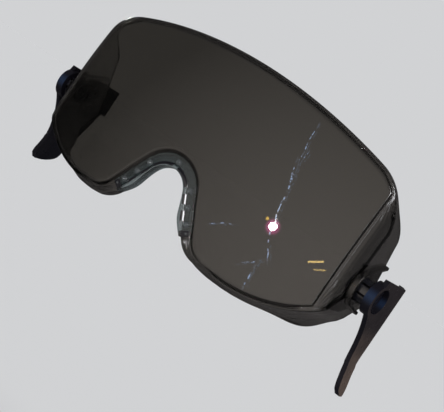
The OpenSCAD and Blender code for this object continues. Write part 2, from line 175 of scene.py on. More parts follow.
class BridgeSizes(bpy.types.PropertyGroup):
    """Sizes of the soft nose bridge and its studs."""
    leg: length("Leg", "Length down each leg from the end of the arch", 18)
    wall: length("Wall", "Thickness of the nose wall", 1.6)
    depth: length("Depth", "Depth of the nose wall from front to back", 4.4)
    arch_wall: length("Arch wall", "Thickness of the nose wall in the arch", 0.88)
    leg_wall: length("Leg wall", "Thickness of the nose wall in the lower legs", 2.08)
    end_wall: length("End wall", "Thickness of the nose wall at a leg's very end", 0.24)
    end_taper: length("End taper", "Length over which the nose wall thins out at a leg's end", 9)
    lip_width: length("Lip width", "Width of the lip in front of the lens", 4.8)
    lip_front: length("Lip front", "Depth of the lip's face behind the dome", 0.4)
    bead: length("Bead", "Height of the bead along the nose edge of the lip", 0.63)
    bead_slope: length("Bead slope", "Width of the bead's slope seen from the front", 0.9)
    flange_width: length("Flange width", "Width of the flange behind the lens", 4.2)
    flange_thickness: length("Flange thickness", "Thickness of the flange", 1.6)
    push_fit: length("Push fit", "Clearance to the lens", 0.05)
    stud_inset: length("Stud inset", "Distance of the studs from the cut-out's edge", 2.2)
    stud_pitch: length("Stud pitch", "Distance between neighbouring studs", 6.6)
    stud_r: length("Stud radius", "Radius of a stud's head", 1.25)
    stud_height: length("Stud height", "Height of the ring and the dome on a stud", 0.6)
    clip_length: length("Clip length", "Length of the clip at a leg's end", 2.3)
    clip_width: length("Clip width", "Width of the clip across the leg", 4.6)


class PanelSizes(bpy.types.PropertyGroup):
    """Sizes of the side panels' rear edge and ribs."""
    reach: length("Reach", "Distance of the rearmost point behind the tilt axis", 18.2)
    tip_drop: length("Tip drop", "Depth of the rearmost point below the tilt axis", 3.1)
    top_y: length("Top corner", "Distance of the top rear corner behind the tilt axis", 7)
    top_z: length("Top corner height", "Height of the top rear corner", 26.6)
    rib_height: length("Rib height", "Height of the ribs", 2.0)
    rib_width: length("Rib width", "Width of the ribs", 1.8)
    ring_r: length("Ring radius", "Radius of the rib round the bushing", 7.4)
    upper_angle: angle("Upper slope", "Slope of the upper rib", 20)
    upper_length: length("Upper length", "Length of the upper rib", 15)
    lower_angle: angle("Lower slope", "Slope of the lower rib below level", 8)
    lower_length: length("Lower length", "Length of the lower rib", 12)


class ArmSizes(bpy.types.PropertyGroup):
    """Sizes of the softened edges of the arms, bushings and pins."""
    arm_edge: length("Arm edge", "Rounding of the arms' edges", 0.6)
    kink_drop: length("Kink drop", "Depth of the lever's kink below the tilt axis", 27)
    kink_angle: angle("Kink slope", "Slope of the lever below its kink", 13)
    kink_soft: length("Kink softness", "Half length of the kink's soft bend", 5)
    tip_drop: length("Tip drop", "Depth of the lever's tip below the tilt axis", 39.6)
    tip_front: length("Tip front", "Distance of the tip's front edge behind the tilt axis", 8.3)
    tip_width: length("Tip width", "Width of the tip from front to back", 13.7)
    tip_round: length("Tip rounding", "Height over which the tip is rounded", 6)
    lift: angle("Lift", "Turn of an arm in the rest pose", 2)
    bushing_edge: length("Bushing edge", "Rounding of the teeth and rims", 0.15)
    pin_edge: length("Pin edge", "Rounding of the pin's head", 0.15)


class Finishes(bpy.types.PropertyGroup):
    """Colours and finishes."""
    smoke: colour("Smoke tint", "Light that the lens lets through", (0.0445, 0.0405, 0.0350))
    rim_smoke: colour("Rim smoke", "Light that the lens's moulded rim lets through", (0.040, 0.037, 0.035))
    # Painted light: pale tint, with painted highlights at the edges, of a rim or bushing seen through the
    # lens
    far_painted_light: colour("Far smoke", "Light let through by a rim seen through the lens", (0.8, 0.8, 0.8))
    bridge: colour("Bridge", "Clear grey-green soft plastic", (0.22, 0.26, 0.265))
    studs: colour("Studs", "Pale clear plastic of the studs", (0.50, 0.55, 0.57))
    # Partly real scuffs, partly painted glare: pale blue of the streaks beside the glint
    scuff_and_painted_glare: colour("Scuffs", "Pale scattering where the window is scuffed", (0.36, 0.50, 0.78))
    bushing: colour("Bushing", "Dark smoky plastic", (0.008, 0.008, 0.011))
    black: colour("Black plastic", "Moulded black plastic", (0.010, 0.0095, 0.0135))
    # Painted sheen: brown tint of the arms' outward flats
    painted_sheen: colour("Black plastic sheen", "Brownish cast of the arms' flat faces", (0.112, 0.082, 0.068))
    # Painted highlight: bluish tint of the hub where it faces the front
    painted_gleam: colour("Gleam", "Bluish cast of the hub where it faces the front", (0.017, 0.029, 0.062))
    backdrop: colour("Backdrop", "Pale backdrop", (0.638, 0.645, 0.658))
    lens_roughness: share("Lens roughness", "Roughness of the polished lens", 0.02)


class StageSizes(bpy.types.PropertyGroup):
    """Place, turns, focal length and target of the camera."""
    azimuth: angle("Azimuth", "Turn of the camera from straight in front", 28.3926)
    elevation: angle("Elevation", "Height of the camera above level", 2.0434)
    roll: angle("Roll", "Turn of the camera about its own axis", 34.425)
    distance: length("Distance", "Distance of the camera from its target", 348.935)
    focal_mm: bpy.props.FloatProperty(name="Focal length", description="Focal length on a 36 mm wide sensor",
                                      default=74.67, unit="CAMERA")
    target: bpy.props.FloatVectorProperty(name="Target", description="Point that the camera looks at",
                                          default=(0.0295141, -0.0299473, -0.0037414), size=3,
                                          subtype="XYZ", unit="LENGTH")


# Mesh tools

# Gaps that are merged in new pieces and in copies of CAD meshes, and the length of edges that count as none
GRID_GAP = 2e-6
COPY_GAP = 1e-6
NO_LENGTH = 1e-7

# Edges sharper than these angles are shaded sharp in new pieces and in copies, or rounded by the bevel
GRID_SHARP = math.radians(35)
COPY_SHARP = math.radians(25)
BEVEL_FROM = math.radians(28)

# Faces of a copy within this angle of each other are joined to one
LEVEL_WITHIN = math.radians(1)


def grid_quads(rows, columns, wrap):
    """Four corners of every cell of a grid of points numbered row by row; wrap joins last column to first."""
    row = np.arange(rows - 1)[:, None] * columns
    column = np.arange(columns if wrap else columns - 1)[None, :]
    after = (column + 1) % columns
    corners = [row + column, row + after, row + after + columns, row + column + columns]
    return np.stack(corners, -1).reshape(-1, 4)


def clean_mesh(mesh, gap, mend):
    """Merges a mesh's doubles, mends it by a function, and turns its faces outwards."""
    work = bmesh.new()
    work.from_mesh(mesh)
    bmesh.ops.remove_doubles(work, verts=work.verts, dist=gap)
    mend(work)
    bmesh.ops.recalc_face_normals(work, faces=work.faces)
    work.to_mesh(mesh)
    work.free()


def add_piece(name, mesh, sharp, body):
    """Object of a finished mesh, smooth up to an angle, that rides on a body."""
    mesh.shade_smooth()
    mesh.set_sharp_from_angle(angle=sharp)
    piece = bpy.data.objects.new(name, mesh)
    bpy.context.scene.collection.objects.link(piece)
    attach(piece, body)
    return piece


def drop_slivers(work):
    """Removes edges and faces without size."""
    bmesh.ops.dissolve_degenerate(work, edges=work.edges, dist=NO_LENGTH)


def build_piece(name, grids, materials, body):
    """One closed mesh from (points, wrap, material number) grids."""
    points, faces, finish, count = [], [], [], 0
    for grid, wrap, number in grids:
        rows, columns = grid.shape[:2]
        points.append(grid.reshape(-1, 3))
        faces.append(grid_quads(rows, columns, wrap) + count)
        finish.append(np.full(len(faces[-1]), number))
        count += rows * columns
    mesh = bpy.data.meshes.new(name)
    mesh.from_pydata(np.concatenate(points).tolist(), [], np.concatenate(faces).tolist())
    for material in materials:
        mesh.materials.append(material)
    mesh.polygons.foreach_set("material_index", np.concatenate(finish).astype(np.int32))
    clean_mesh(mesh, GRID_GAP, drop_slivers)
    return add_piece(name, mesh, GRID_SHARP, body)


def soft_copy(node, name, edge, material, body, reshape=None):
    """Merged copy of a CAD node's mesh, reshaped where asked, its sharp edges rounded by a bevel."""

    def mend(work):
        """Joins faces that lie in one plane, then reshapes."""
        bmesh.ops.dissolve_limit(work, angle_limit=LEVEL_WITHIN, verts=work.verts, edges=work.edges)
        if reshape:
            reshape(work)

    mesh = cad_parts[node].data.copy()
    mesh.name = name
    clean_mesh(mesh, COPY_GAP, mend)
    mesh.materials.clear()
    mesh.materials.append(material)
    piece = add_piece(name, mesh, COPY_SHARP, body)
    bevel = piece.modifiers.new("Rounded edges", "BEVEL")
    bevel.width = edge
    bevel.segments = 3
    bevel.limit_method = "ANGLE"
    bevel.angle_limit = BEVEL_FROM
    bevel.harden_normals = False
    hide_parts(node)
    return piece


def smooth_step(x):
    """Rises from 0 to 1 with level ends."""
    t = np.clip(x, 0.0, 1.0)
    return t * t * (3.0 - 2.0 * t)


def fade(value, start, over):
    """Rises from 0 at a start to 1 past a length."""
    return smooth_step((value - start) / over)


def shares(count):
    """Even shares above 0 and up to 1."""
    return np.linspace(0, 1, count + 1)[1:]


def waves(share, count):
    """Count round waves between 0 and 1 over the whole share."""
    return 0.5 * (1 - math.cos(2 * math.pi * count * share))


# Shape of the lens

# Places shared by the lens's rows: on each half of its top and bottom, and on each upright side
PLACES_ALONG = 110
PLACES_UPRIGHT = 44

# Inner pane of the lens: its distance from the inner wall, and from the window's upright edges
PANE_GAP = 1.2 * MM
PANE_SIDE_GAP = 1.4 * MM

# The crease's forms grow from this far inside the window's side edge, over this length
CREASE_BAND = 9 * MM
CREASE_FADE = 7 * MM

# The nose's step is wider up to this far from the middle, with its fade, and the fade at the bridge's foot
NOSE_REACH = 20 * MM
NOSE_FADE = 8 * MM
FOOT_FADE = 1.5 * MM

# The wall deepens towards the panels from this far inside the lobes' lowest points, over this length
PANEL_LEAD = 1 * MM
PANEL_FADE = 9 * MM

# The lower rim's flare: its start below the tilt axis, its fades down and away from the nose, and the place
# and spread of the further flare at the two lower corners
LOW_START = 12 * MM
LOW_FADE = 10 * MM
FLARE_FADE = 16 * MM
CORNER_PLACE = 69.5 * MM
CORNER_SPREAD = 7 * MM

# Places round the lens over which a value is evened out, and points on each arc of the outline
EVEN_OUT = 9
ARC_POINTS = 64

# Shares by which the band's recess and the step's width lessen at the crease
CREASE_RECESS = 0.6
CREASE_STEP = 0.62

# Ridges: places and spread in the band's width, and their height on the upper rim as a share of the full one
RIDGE_PLACES = (0.24, 0.50, 0.76)
RIDGE_SPREAD = 0.06
UPPER_RIDGE = 0.35

# Finer lines beside the crease: number, height as a share of a ridge's, the band's outer part in which they
# end, the width of band from which they grow, and the growth of width that brings them to full height
CREASE_LINES = 6
CREASE_LINE_HEIGHT = 0.62
CREASE_LINE_END = 0.3
BROAD_BAND = 3 * MM
BROAD_FADE = 4 * MM

# Radius of the fillet behind the front
FILLET = 0.8 * MM

# Grooves along the lower wall, the sideways share of its flare, and the wall's depth at the nose
GROOVES = 4
FLARE_SIDEWAYS = 0.25
NOSE_DEPTH = 0.02 * MM

# Rows of the lens's parts, and turn angles of a rounded edge
STEP_ROWS = 7
BAND_ROWS = 33
WALL_ROWS = 28
BACK_ROWS = 8
QUARTER = np.linspace(0, math.pi / 2, 5)


def half_outline(lens, inset, nose_inset, corner_r):
    """Right half of the outline seen from the front: seven arcs joined by straights, moved inwards by inset.

    Returns a way (2k at arc k's start, 2k+1 at its end) with the x and z at each place on the way.
    """
    side = lens.width / 2
    top_z = lens.rise - lens.top_edge_r
    corner_x = side - corner_r
    corner_z = top_z + math.sqrt((lens.top_edge_r - corner_r) ** 2 - corner_x ** 2)
    top_a = math.atan2(corner_z - top_z, corner_x)
    cheek = np.array([side - lens.cheek_top_r, -lens.cheek_drop])
    out = np.array([math.cos(lens.cheek_angle), -math.sin(lens.cheek_angle)])
    lobe = np.array([lens.lobe_x, lens.lobe_r - lens.drop])
    gap = out @ cheek + lens.cheek_top_r - lens.cheek_low_r - out @ lobe
    low_a = -lens.cheek_angle - math.acos(gap / (lens.lobe_r - lens.cheek_low_r))
    low = lobe + (lens.lobe_r - lens.cheek_low_r) * np.array([math.cos(low_a), math.sin(low_a)])
    leg = lens.nose_leg_angle
    nose_z = lens.nose_rise - lens.drop
    arch_r = lens.nose_r + nose_inset
    turn_r = lens.nose_corner_r - inset
    turn_z = lens.nose_corner_r - lens.drop
    turn_x = (arch_r + turn_r - math.sin(leg) * (turn_z - nose_z)) / math.cos(leg)
    down = -math.pi / 2
    arcs = [
        (0.0, top_z, lens.top_edge_r - inset, math.pi / 2, top_a),
        (corner_x, corner_z, corner_r - inset, top_a, 0.0),
        (cheek[0], cheek[1], lens.cheek_top_r - inset, 0.0, -lens.cheek_angle),
        (low[0], low[1], lens.cheek_low_r - inset, -lens.cheek_angle, low_a),
        (lobe[0], lobe[1], lens.lobe_r - inset, low_a, down),
        (turn_x, turn_z, turn_r, down, leg - math.pi),
        (0.0, nose_z, arch_r, leg, math.pi / 2),
    ]
    share_of_arc = np.linspace(0.0, 1.0, ARC_POINTS)
    way = np.concatenate([2 * k + share_of_arc for k in range(len(arcs))])
    turn = np.concatenate([a + (b - a) * share_of_arc for _, _, _, a, b in arcs])
    centre_x, centre_z, radius = np.repeat(np.array(arcs)[:, :3], len(share_of_arc), axis=0).T
    return way, centre_x + radius * np.cos(turn), centre_z + radius * np.sin(turn)


def corner_turn(lens):
    """Angle at which the dome meets the rounded corner, seen from above."""
    return math.asin((lens.width / 2 - lens.corner_r) / (lens.dome_r - lens.corner_r))


def unfold(lens, x, inset):
    """Way along the section of the front from the middle to x: dome arc, then corner arc."""
    turn = corner_turn(lens)
    dome, corner = lens.dome_r - inset, lens.corner_r - inset
    far = np.abs(x)
    on_dome = dome * np.arcsin(np.clip(far / dome, 0, 1))
    on_corner = np.arcsin(np.clip((far - lens.width / 2 + lens.corner_r) / corner, 0, 1))
    past_dome = dome * turn + corner * (on_corner - turn)
    return np.sign(x) * np.where(far <= dome * math.sin(turn), on_dome, past_dome)


def fold(lens, way, inset):
    """X at a way along the section, the inverse of unfold."""
    turn = corner_turn(lens)
    dome, corner = lens.dome_r - inset, lens.corner_r - inset
    far = np.abs(way)
    on_corner = np.clip(turn + (far - dome * turn) / corner, 0, math.pi / 2)
    x = np.where(far <= dome * turn, dome * np.sin(far / dome),
                 lens.width / 2 - lens.corner_r + corner * np.sin(on_corner))
    return np.sign(way) * x


def front_y(lens, x, z, inset=0.0):
    """Y of the front: the section's dome and corner arcs turned about the dome's cross axis."""
    turn = corner_turn(lens)
    dome, corner = lens.dome_r - inset, lens.corner_r - inset
    far = np.abs(x)
    off = np.clip(far - lens.width / 2 + lens.corner_r, -corner, corner)
    back = (lens.dome_r - lens.corner_r) * math.cos(turn)
    reach = np.where(far <= dome * math.sin(turn), np.sqrt(np.maximum(dome ** 2 - far ** 2, 0)),
                     back + np.sqrt(np.maximum(corner ** 2 - off ** 2, 0)))
    return lens.dome_r - lens.reach - np.sqrt(reach ** 2 - z ** 2)


def on_front(lens, place, deeper=0.0, inset=0.0):
    """Points of the front at places (x, z) seen from straight ahead, moved back by deeper."""
    x, z = place[..., 0], place[..., 1]
    return np.stack([x, front_y(lens, x, z, inset) + deeper, z], -1)


def window_side(lens, z):
    """Distance from the middle to the window's upright edge at a height: it leans in towards the bottom."""
    top = 0.8 * lens.rise
    return lens.window_side - lens.side_lean * np.clip((top - z) / (top + lens.drop), 0, 1)


class Perimeter:
    """Places round the lens that all its rows share, evenly spaced along the window's edge."""

    def __init__(self, lens, along, upright):
        """Ways along the half outline, at equal steps on the window's top and bottom and on its side."""
        self.lens = lens
        way, x, z = half_outline(lens, lens.window_inset, lens.window_nose_inset, lens.window_corner_r)
        side = window_side(lens, z)
        inner = np.minimum(x, side)
        run = np.concatenate([[0], np.cumsum(np.hypot(np.diff(inner), np.diff(z)))])
        inside = x < side
        first = np.argmax(~inside)
        last = len(x) - 1 - np.argmax(~inside[::-1])
        marks = [0.0, run[first], run[last], run[-1]]
        parts = [np.linspace(marks[0], marks[1], along, endpoint=False),
                 np.linspace(marks[1], marks[2], upright, endpoint=False),
                 np.linspace(marks[2], marks[3], along + 1)]
        self.along, self.upright = along, upright
        self.way = np.interp(np.concatenate(parts), run, way)

    def half(self, inset, nose_inset, corner_r):
        """X and z of the right half's shared places on an outline moved inwards."""
        way, x, z = half_outline(self.lens, inset, nose_inset, corner_r)
        return np.interp(self.way, way, x), np.interp(self.way, way, z)

    def loop(self, inset, nose_inset, corner_r):
        """The whole outline, clockwise seen from the front: right half down, then left half up."""
        x, z = self.half(inset, nose_inset, corner_r)
        return np.concatenate([x, -x[-2:0:-1]]), np.concatenate([z, z[-2:0:-1]])

    def pane(self, x, z):
        """Places across a loop by blending its four sides: both pairs' blends less the corners' blend."""
        a, u = self.along, self.upright
        half = 2 * a + u
        full = 2 * half
        loop = np.stack([x, z], -1)
        top = loop[np.arange(-a, a + 1) % full]
        right = loop[np.arange(a, a + u + 1)]
        bottom = loop[np.arange(half + a, half - a - 1, -1)]
        left = loop[np.arange(full - a, half + a - 1, -1)]
        s = np.linspace(0, 1, 2 * a + 1)[None, :, None]
        t = np.linspace(0, 1, u + 1)[:, None, None]
        across = (1 - t) * top[None] + t * bottom[None]
        downward = (1 - s) * left[:, None] + s * right[:, None]
        corners = (1 - t) * ((1 - s) * top[0] + s * top[-1]) + t * ((1 - s) * bottom[0] + s * bottom[-1])
        return across + downward - corners


def rear_edge_y(lens, panel, z):
    """Y of the side panels' rear edge at a height: corner points joined by straights.

    They are the points of the solid's cut, drawn forward by up to 3 mm along the lower edge.
    """
    points = [(-lens.drop - 0.1 * MM, -13.4 * MM), (-20 * MM, 7.2 * MM), (-15 * MM, 9.8 * MM),
              (-9 * MM, panel.reach - 2.4 * MM), (-panel.tip_drop, panel.reach),
              (9.7 * MM, panel.reach - 4.5 * MM), (panel.top_z, panel.top_y),
              (panel.top_z + 5.2 * MM, -6 * MM), (lens.rise - 15 * MM, -8 * MM),
              (lens.rise + 4 * MM, -14 * MM)]
    return np.interp(z, *np.transpose(points))


def blur_round(values, width):
    """Running mean round a closed loop."""
    kernel = np.hanning(width + 2)[1:-1]
    wrapped = np.concatenate([values[-width:], values, values[:width]])
    return np.convolve(wrapped, kernel / kernel.sum(), mode="same")[width:-width]


class LensRows:
    """Closed surface of the lens: window, step, band, outer wall, rear edge, inner wall and inner front.

    It holds the loops that bound them, and how much each place on a loop belongs to the crease, the nose or
    the lower rim.
    """

    def __init__(self, lens, panel, bridge):
        """Loops moved inwards by wall and insets, and smooth masks by height and distance from the middle."""
        self.lens, self.panel = lens, panel
        self.places = Perimeter(lens, PLACES_ALONG, PLACES_UPRIGHT)
        self.window = self.sided_loop(lens.window_inset, lens.window_nose_inset, lens.window_corner_r, 0.0)
        self.outer = self.places.loop(0.0, 0.0, lens.top_corner_r)
        self.inner = self.places.loop(lens.wall, lens.wall, lens.top_corner_r)
        inset = lens.wall + PANE_GAP
        self.pane = self.sided_loop(inset, inset, lens.top_corner_r, PANE_SIDE_GAP)
        x, z = self.outer
        self.far = np.abs(x)
        number = np.arange(len(x))
        lower_half = (number > PLACES_ALONG) & (number < len(x) - PLACES_ALONG)
        foot_z = (lens.nose_rise - lens.drop + lens.nose_r * math.sin(lens.nose_leg_angle)
                  - bridge.leg * math.cos(lens.nose_leg_angle))
        self.nose = fade(z, foot_z, FOOT_FADE) * (self.far < 0.3 * lens.width) * lower_half
        self.low = fade(-z, LOW_START, LOW_FADE)
        self.at_crease = fade(np.abs(self.window[0]), lens.window_side - CREASE_BAND, CREASE_FADE)
        self.recess = lens.band_recess * (1 - CREASE_RECESS * self.at_crease)
        near_nose = (1 - fade(self.far, NOSE_REACH, NOSE_FADE)) * lower_half
        more = (lens.nose_step_width - lens.step_width) * near_nose
        self.slope = blur_round(lens.step_width * (1 - CREASE_STEP * self.at_crease) + more, EVEN_OUT)

    def sided_loop(self, inset, nose_inset, corner_r, gap):
        """Outline moved inwards and cut off at the window's upright edges, less a gap."""
        x, z = self.places.loop(inset, nose_inset, corner_r)
        side = window_side(self.lens, z) - gap
        return np.clip(x, -side, side), z

    def row_maker(self, start, stop, inset):
        """Span between two loops of the front, and the function for rows at a distance from the first."""
        lens, (start_x, start_z), (stop_x, stop_z) = self.lens, start, stop
        start_way = unfold(lens, start_x, inset)
        run = unfold(lens, stop_x, inset) - start_way
        span = np.hypot(run, stop_z - start_z)

        def row(distance, deeper):
            """Row at a distance from the first loop towards the second, moved back by deeper."""
            part = distance / span
            x = fold(lens, start_way + run * part, inset)
            return on_front(lens, np.stack([x, start_z + (stop_z - start_z) * part], -1), deeper, inset)

        return span, row

    def ridges(self, s, span):
        """Lift of the band at a share s of its width: ridges, and finer lines beside the crease."""
        hills = sum(np.exp(-((s - middle) / RIDGE_SPREAD) ** 2) for middle in RIDGE_PLACES)
        lines = CREASE_LINE_HEIGHT * waves(s, CREASE_LINES) * smooth_step((1 - s) / CREASE_LINE_END)
        lines = lines * self.at_crease * fade(span, BROAD_BAND, BROAD_FADE)
        lower = UPPER_RIDGE + (1 - UPPER_RIDGE) * fade(-self.outer[1], 0.0, LOW_FADE)
        return self.lens.ridge * lower * (hills * (1 - self.nose) * (1 - self.at_crease) + lines)

    def front_rows(self):
        """Rows of the rounded step round the window, and rows of the band with its rounded outer edge."""
        step, edge, recess = self.lens.window_step, self.lens.edge_r, self.recess
        span, row = self.row_maker(self.window, self.outer, 0.0)
        slope_rows = [row(self.slope * s, (step + recess) * smooth_step(s) - step)
                      for s in (0, *shares(STEP_ROWS))]
        level = span - self.slope - edge
        band_rows = [row(self.slope + level * s, recess - self.ridges(s, span)) for s in shares(BAND_ROWS)]
        band_rows += [row(span - edge * (1 - math.sin(q)), recess + edge * (1 - math.cos(q)))
                      for q in QUARTER[1:]]
        return slope_rows, band_rows

    def depth(self, inner_y):
        """Depth of the wall behind the inner front: the rim's, and as far as the rear edge at the panels."""
        rim = self.lens.rim_depth
        at_side = fade(np.abs(self.inner[0]), self.lens.lobe_x - PANEL_LEAD, PANEL_FADE)
        level = np.maximum(rear_edge_y(self.lens, self.panel, self.outer[1]) - inner_y, rim)
        depth = blur_round(rim + (level - rim) * at_side, EVEN_OUT)
        return depth * (1 - self.nose) + NOSE_DEPTH * self.nose

    def wall_rows(self, outer_y, corner_r):
        """Rows of the outer wall with its flare and grooves, the rear edge and the inner wall."""
        lens, low, edge = self.lens, self.low, self.lens.edge_r
        (outer_x, outer_z), (inner_x, inner_z) = self.outer, self.inner
        flare = lens.flare * low * fade(self.far, NOSE_REACH, FLARE_FADE)
        flare += lens.corner_flare * low * np.exp(-((self.far - CORNER_PLACE) / CORNER_SPREAD) ** 2)

        def row(inset, y, part):
            """Row between the outer and inner outlines by inset, flared by the square of part."""
            mix = inset / lens.wall
            x = outer_x + (inner_x - outer_x) * mix + FLARE_SIDEWAYS * np.sign(outer_x) * flare * part ** 2
            return np.stack([x, y, outer_z + (inner_z - outer_z) * mix - flare * part ** 2], -1)

        inner_y = front_y(lens, inner_x, inner_z, lens.wall)
        depth = self.depth(inner_y)
        turn = np.minimum(edge, depth / 2)
        fillet = np.minimum(corner_r, depth / 2)
        rear_y = inner_y + depth
        rows = []
        for s in shares(WALL_ROWS):
            line = row(0.0, outer_y + (rear_y - turn - outer_y) * s, s)
            line[:, 2] += lens.groove * low * (1 - self.nose) * waves(s, GROOVES)
            rows.append(line)
        rows += [row(edge * (1 - math.cos(q)), rear_y - turn * (1 - math.sin(q)), 1.0) for q in QUARTER[1:]]
        rows += [row(lens.wall - edge * math.cos(q), rear_y - turn * (1 - math.cos(q - QUARTER[1])), 1.0)
                 for q in QUARTER]
        run = inner_y + fillet - rear_y + turn
        rows += [row(lens.wall, rear_y - turn + run * s, 1.0 - s) for s in shares(BACK_ROWS)]
        return rows, fillet

    def back_rows(self, fillet):
        """Rows of the fillet behind the front, and of the inner front up to its pane."""
        span, row = self.row_maker(self.inner, self.pane, self.lens.wall)
        way = np.minimum(fillet, span / 2)
        rows = [row(way * (1 - math.cos(q)), fillet * (1 - math.sin(q))) for q in QUARTER[1:]]
        return rows + [row(way + (span - way) * s, 0.0) for s in shares(STEP_ROWS)]

    def grids(self):
        """Window (material 0), step with its painted shade (1), all rows behind it (2) and inner pane (0)."""
        slope_rows, rows = self.front_rows()
        wall, fillet = self.wall_rows(rows[-1][:, 1], FILLET)
        rows = slope_rows[-1:] + rows + wall + self.back_rows(fillet)
        window = on_front(self.lens, self.places.pane(*self.window), -self.lens.window_step)
        pane = on_front(self.lens, self.places.pane(*self.pane), 0.0, self.lens.wall)
        return [(window, False, 0), (np.stack(slope_rows), True, 1), (np.stack(rows), True, 2),
                (pane, False, 0)]


def rounded_section(points, radius, steps=5):
    """Closed section with each corner replaced by a curve that runs radius along both sides."""
    points = np.asarray(points, float)
    before, after = np.roll(points, 1, 0) - points, np.roll(points, -1, 0) - points
    reach = [np.minimum(radius, 0.45 * np.linalg.norm(d, axis=1, keepdims=True)) for d in (before, after)]
    start = points + before / np.linalg.norm(before, axis=1, keepdims=True) * reach[0]
    stop = points + after / np.linalg.norm(after, axis=1, keepdims=True) * reach[1]
    t = np.linspace(0, 1, steps)[None, :, None]
    curve = (1 - t) ** 2 * start[:, None] + 2 * t * (1 - t) * points[:, None] + t ** 2 * stop[:, None]
    return curve.reshape(-1, 2)


def capped(rows):
    """Rows of a tube with a pole put before the first and after the last, so that its ends are closed."""
    first = np.broadcast_to(rows[0].mean(0), rows[0].shape)
    last = np.broadcast_to(rows[-1].mean(0), rows[-1].shape)
    return np.concatenate([first[None], rows, last[None]])


def nose_path(lens, leg, count):
    """Path along the cut-out's edge from the right leg's foot over the arch to the left leg's.

    Returns the places, their outward normals, the way along the path (0 where the arch starts) and the
    arch's length.
    """
    slope = lens.nose_leg_angle
    arch = lens.nose_r * (math.pi - 2 * slope)
    way = np.linspace(-leg, arch + leg, count)
    turn = slope + np.clip(way, 0, arch) / lens.nose_r
    normal = np.stack([np.cos(turn), np.sin(turn)], -1)
    along = np.stack([-np.sin(turn), np.cos(turn)], -1)
    beyond = np.where(way < 0, way, np.where(way > arch, way - arch, 0.0))
    centre = np.array([0.0, lens.nose_rise - lens.drop])
    return centre + lens.nose_r * normal + beyond[:, None] * along, normal, way, arch


def carried(lens, path, normal, off, deeper):
    """Closed tube: a section, off the path and deeper than the front, carried along the path."""
    return capped(on_front(lens, path[:, None] + off[..., None] * normal[:, None], deeper))


def bridge_grids(lens, bridge):
    """Soft bridge: an L section (nose wall and flange) carried along the cut-out's edge on the dome."""
    path, normal, way, arch = nose_path(lens, bridge.leg, 121)
    fit, depth = bridge.push_fit, bridge.depth
    front = lens.wall + fit
    back = front + bridge.flange_thickness
    inner = -fit - bridge.wall
    lip_back = lens.band_recess - fit
    bead = bridge.lip_front - bridge.bead
    corners = [(inner, bead), (0.0, bead), (bridge.bead_slope, bridge.lip_front),
               (bridge.lip_width, bridge.lip_front), (bridge.lip_width, lip_back), (-fit, lip_back),
               (-fit, front), (bridge.flange_width, front), (bridge.flange_width, back), (-fit, back),
               (-fit, depth), (inner, depth)]
    round_r, leg_fade = 0.35 * MM, 12 * MM
    off, deeper = rounded_section(corners, round_r).T
    to_end = np.minimum(way + bridge.leg, arch + bridge.leg - way)
    in_leg = fade(bridge.leg - to_end, 0.0, leg_fade)
    thick = bridge.arch_wall + (bridge.leg_wall - bridge.arch_wall) * in_leg
    thick = bridge.end_wall + (thick - bridge.end_wall) * np.sqrt(fade(to_end, 0.0, bridge.end_taper))
    off = np.maximum(off, -fit) + np.minimum(off + fit, 0) * (thick / bridge.wall)[:, None]
    return [(carried(lens, path, normal, off, deeper), True, 0)]


def ringed_head(radius, height, rings, spokes):
    """Stud head turned about its axis: a round ring at the edge, a dip and a low dome in the middle."""
    t = np.linspace(1, 0, rings)
    ring_place, ring_spread = 0.76, 0.16
    dome_height, dome_spread, crown = 0.9, 0.36, 0.15
    ring = np.exp(-((t - ring_place) / ring_spread) ** 2)
    dome = dome_height * np.exp(-(t / dome_spread) ** 2) + crown * (1 - t ** 2)
    profile = ring + dome
    profile[0] = 0.0
    foot = -1.2
    r = radius * np.concatenate([[0, 1], t])[:, None]
    y = -height * np.concatenate([[foot, foot], profile])[:, None]
    a = np.linspace(0, 2 * math.pi, spokes, endpoint=False)
    return np.stack([r * np.cos(a), np.broadcast_to(y, (len(y), spokes)), r * np.sin(a)], -1)


def slot_grids(lens, bridge):
    """Dark bars between the studs: thin plates on the bead's slope (material 0) and on its top (1)."""
    path, normal, way, arch = nose_path(lens, bridge.leg, 361)
    clear, pitch = 1.3 * MM, bridge.stud_pitch
    stretches = [(clear, arch / 2 - clear)]
    stretches += [(-pitch * (i + 1) + clear, -pitch * i - clear) for i in range(2)]
    stretches += [(arch - b, arch - a) for a, b in stretches]
    face, proud, thick = bridge.lip_front, 0.05 * MM, 0.3 * MM
    top, over, round_r = face - bridge.bead, 0.45 * MM, 0.04 * MM
    slope = [(0.0, top - proud), (bridge.bead_slope, face - proud), (bridge.bead_slope, face + thick),
             (0.0, top + thick)]
    level = [(-over, top - proud), (0.0, top - proud), (0.0, top + thick), (-over, top + thick)]
    grids = []
    for number, corners in enumerate((slope, level)):
        off, deeper = rounded_section(corners, round_r, 3).T
        for start, stop in stretches:
            inside = (way > start) & (way < stop)
            grids.append((carried(lens, path[inside], normal[inside], off, deeper), True, number))
    return grids


def bulge(t, power):
    """Sines or cosines raised to a power with their signs kept."""
    return np.sign(t) * np.abs(t) ** power


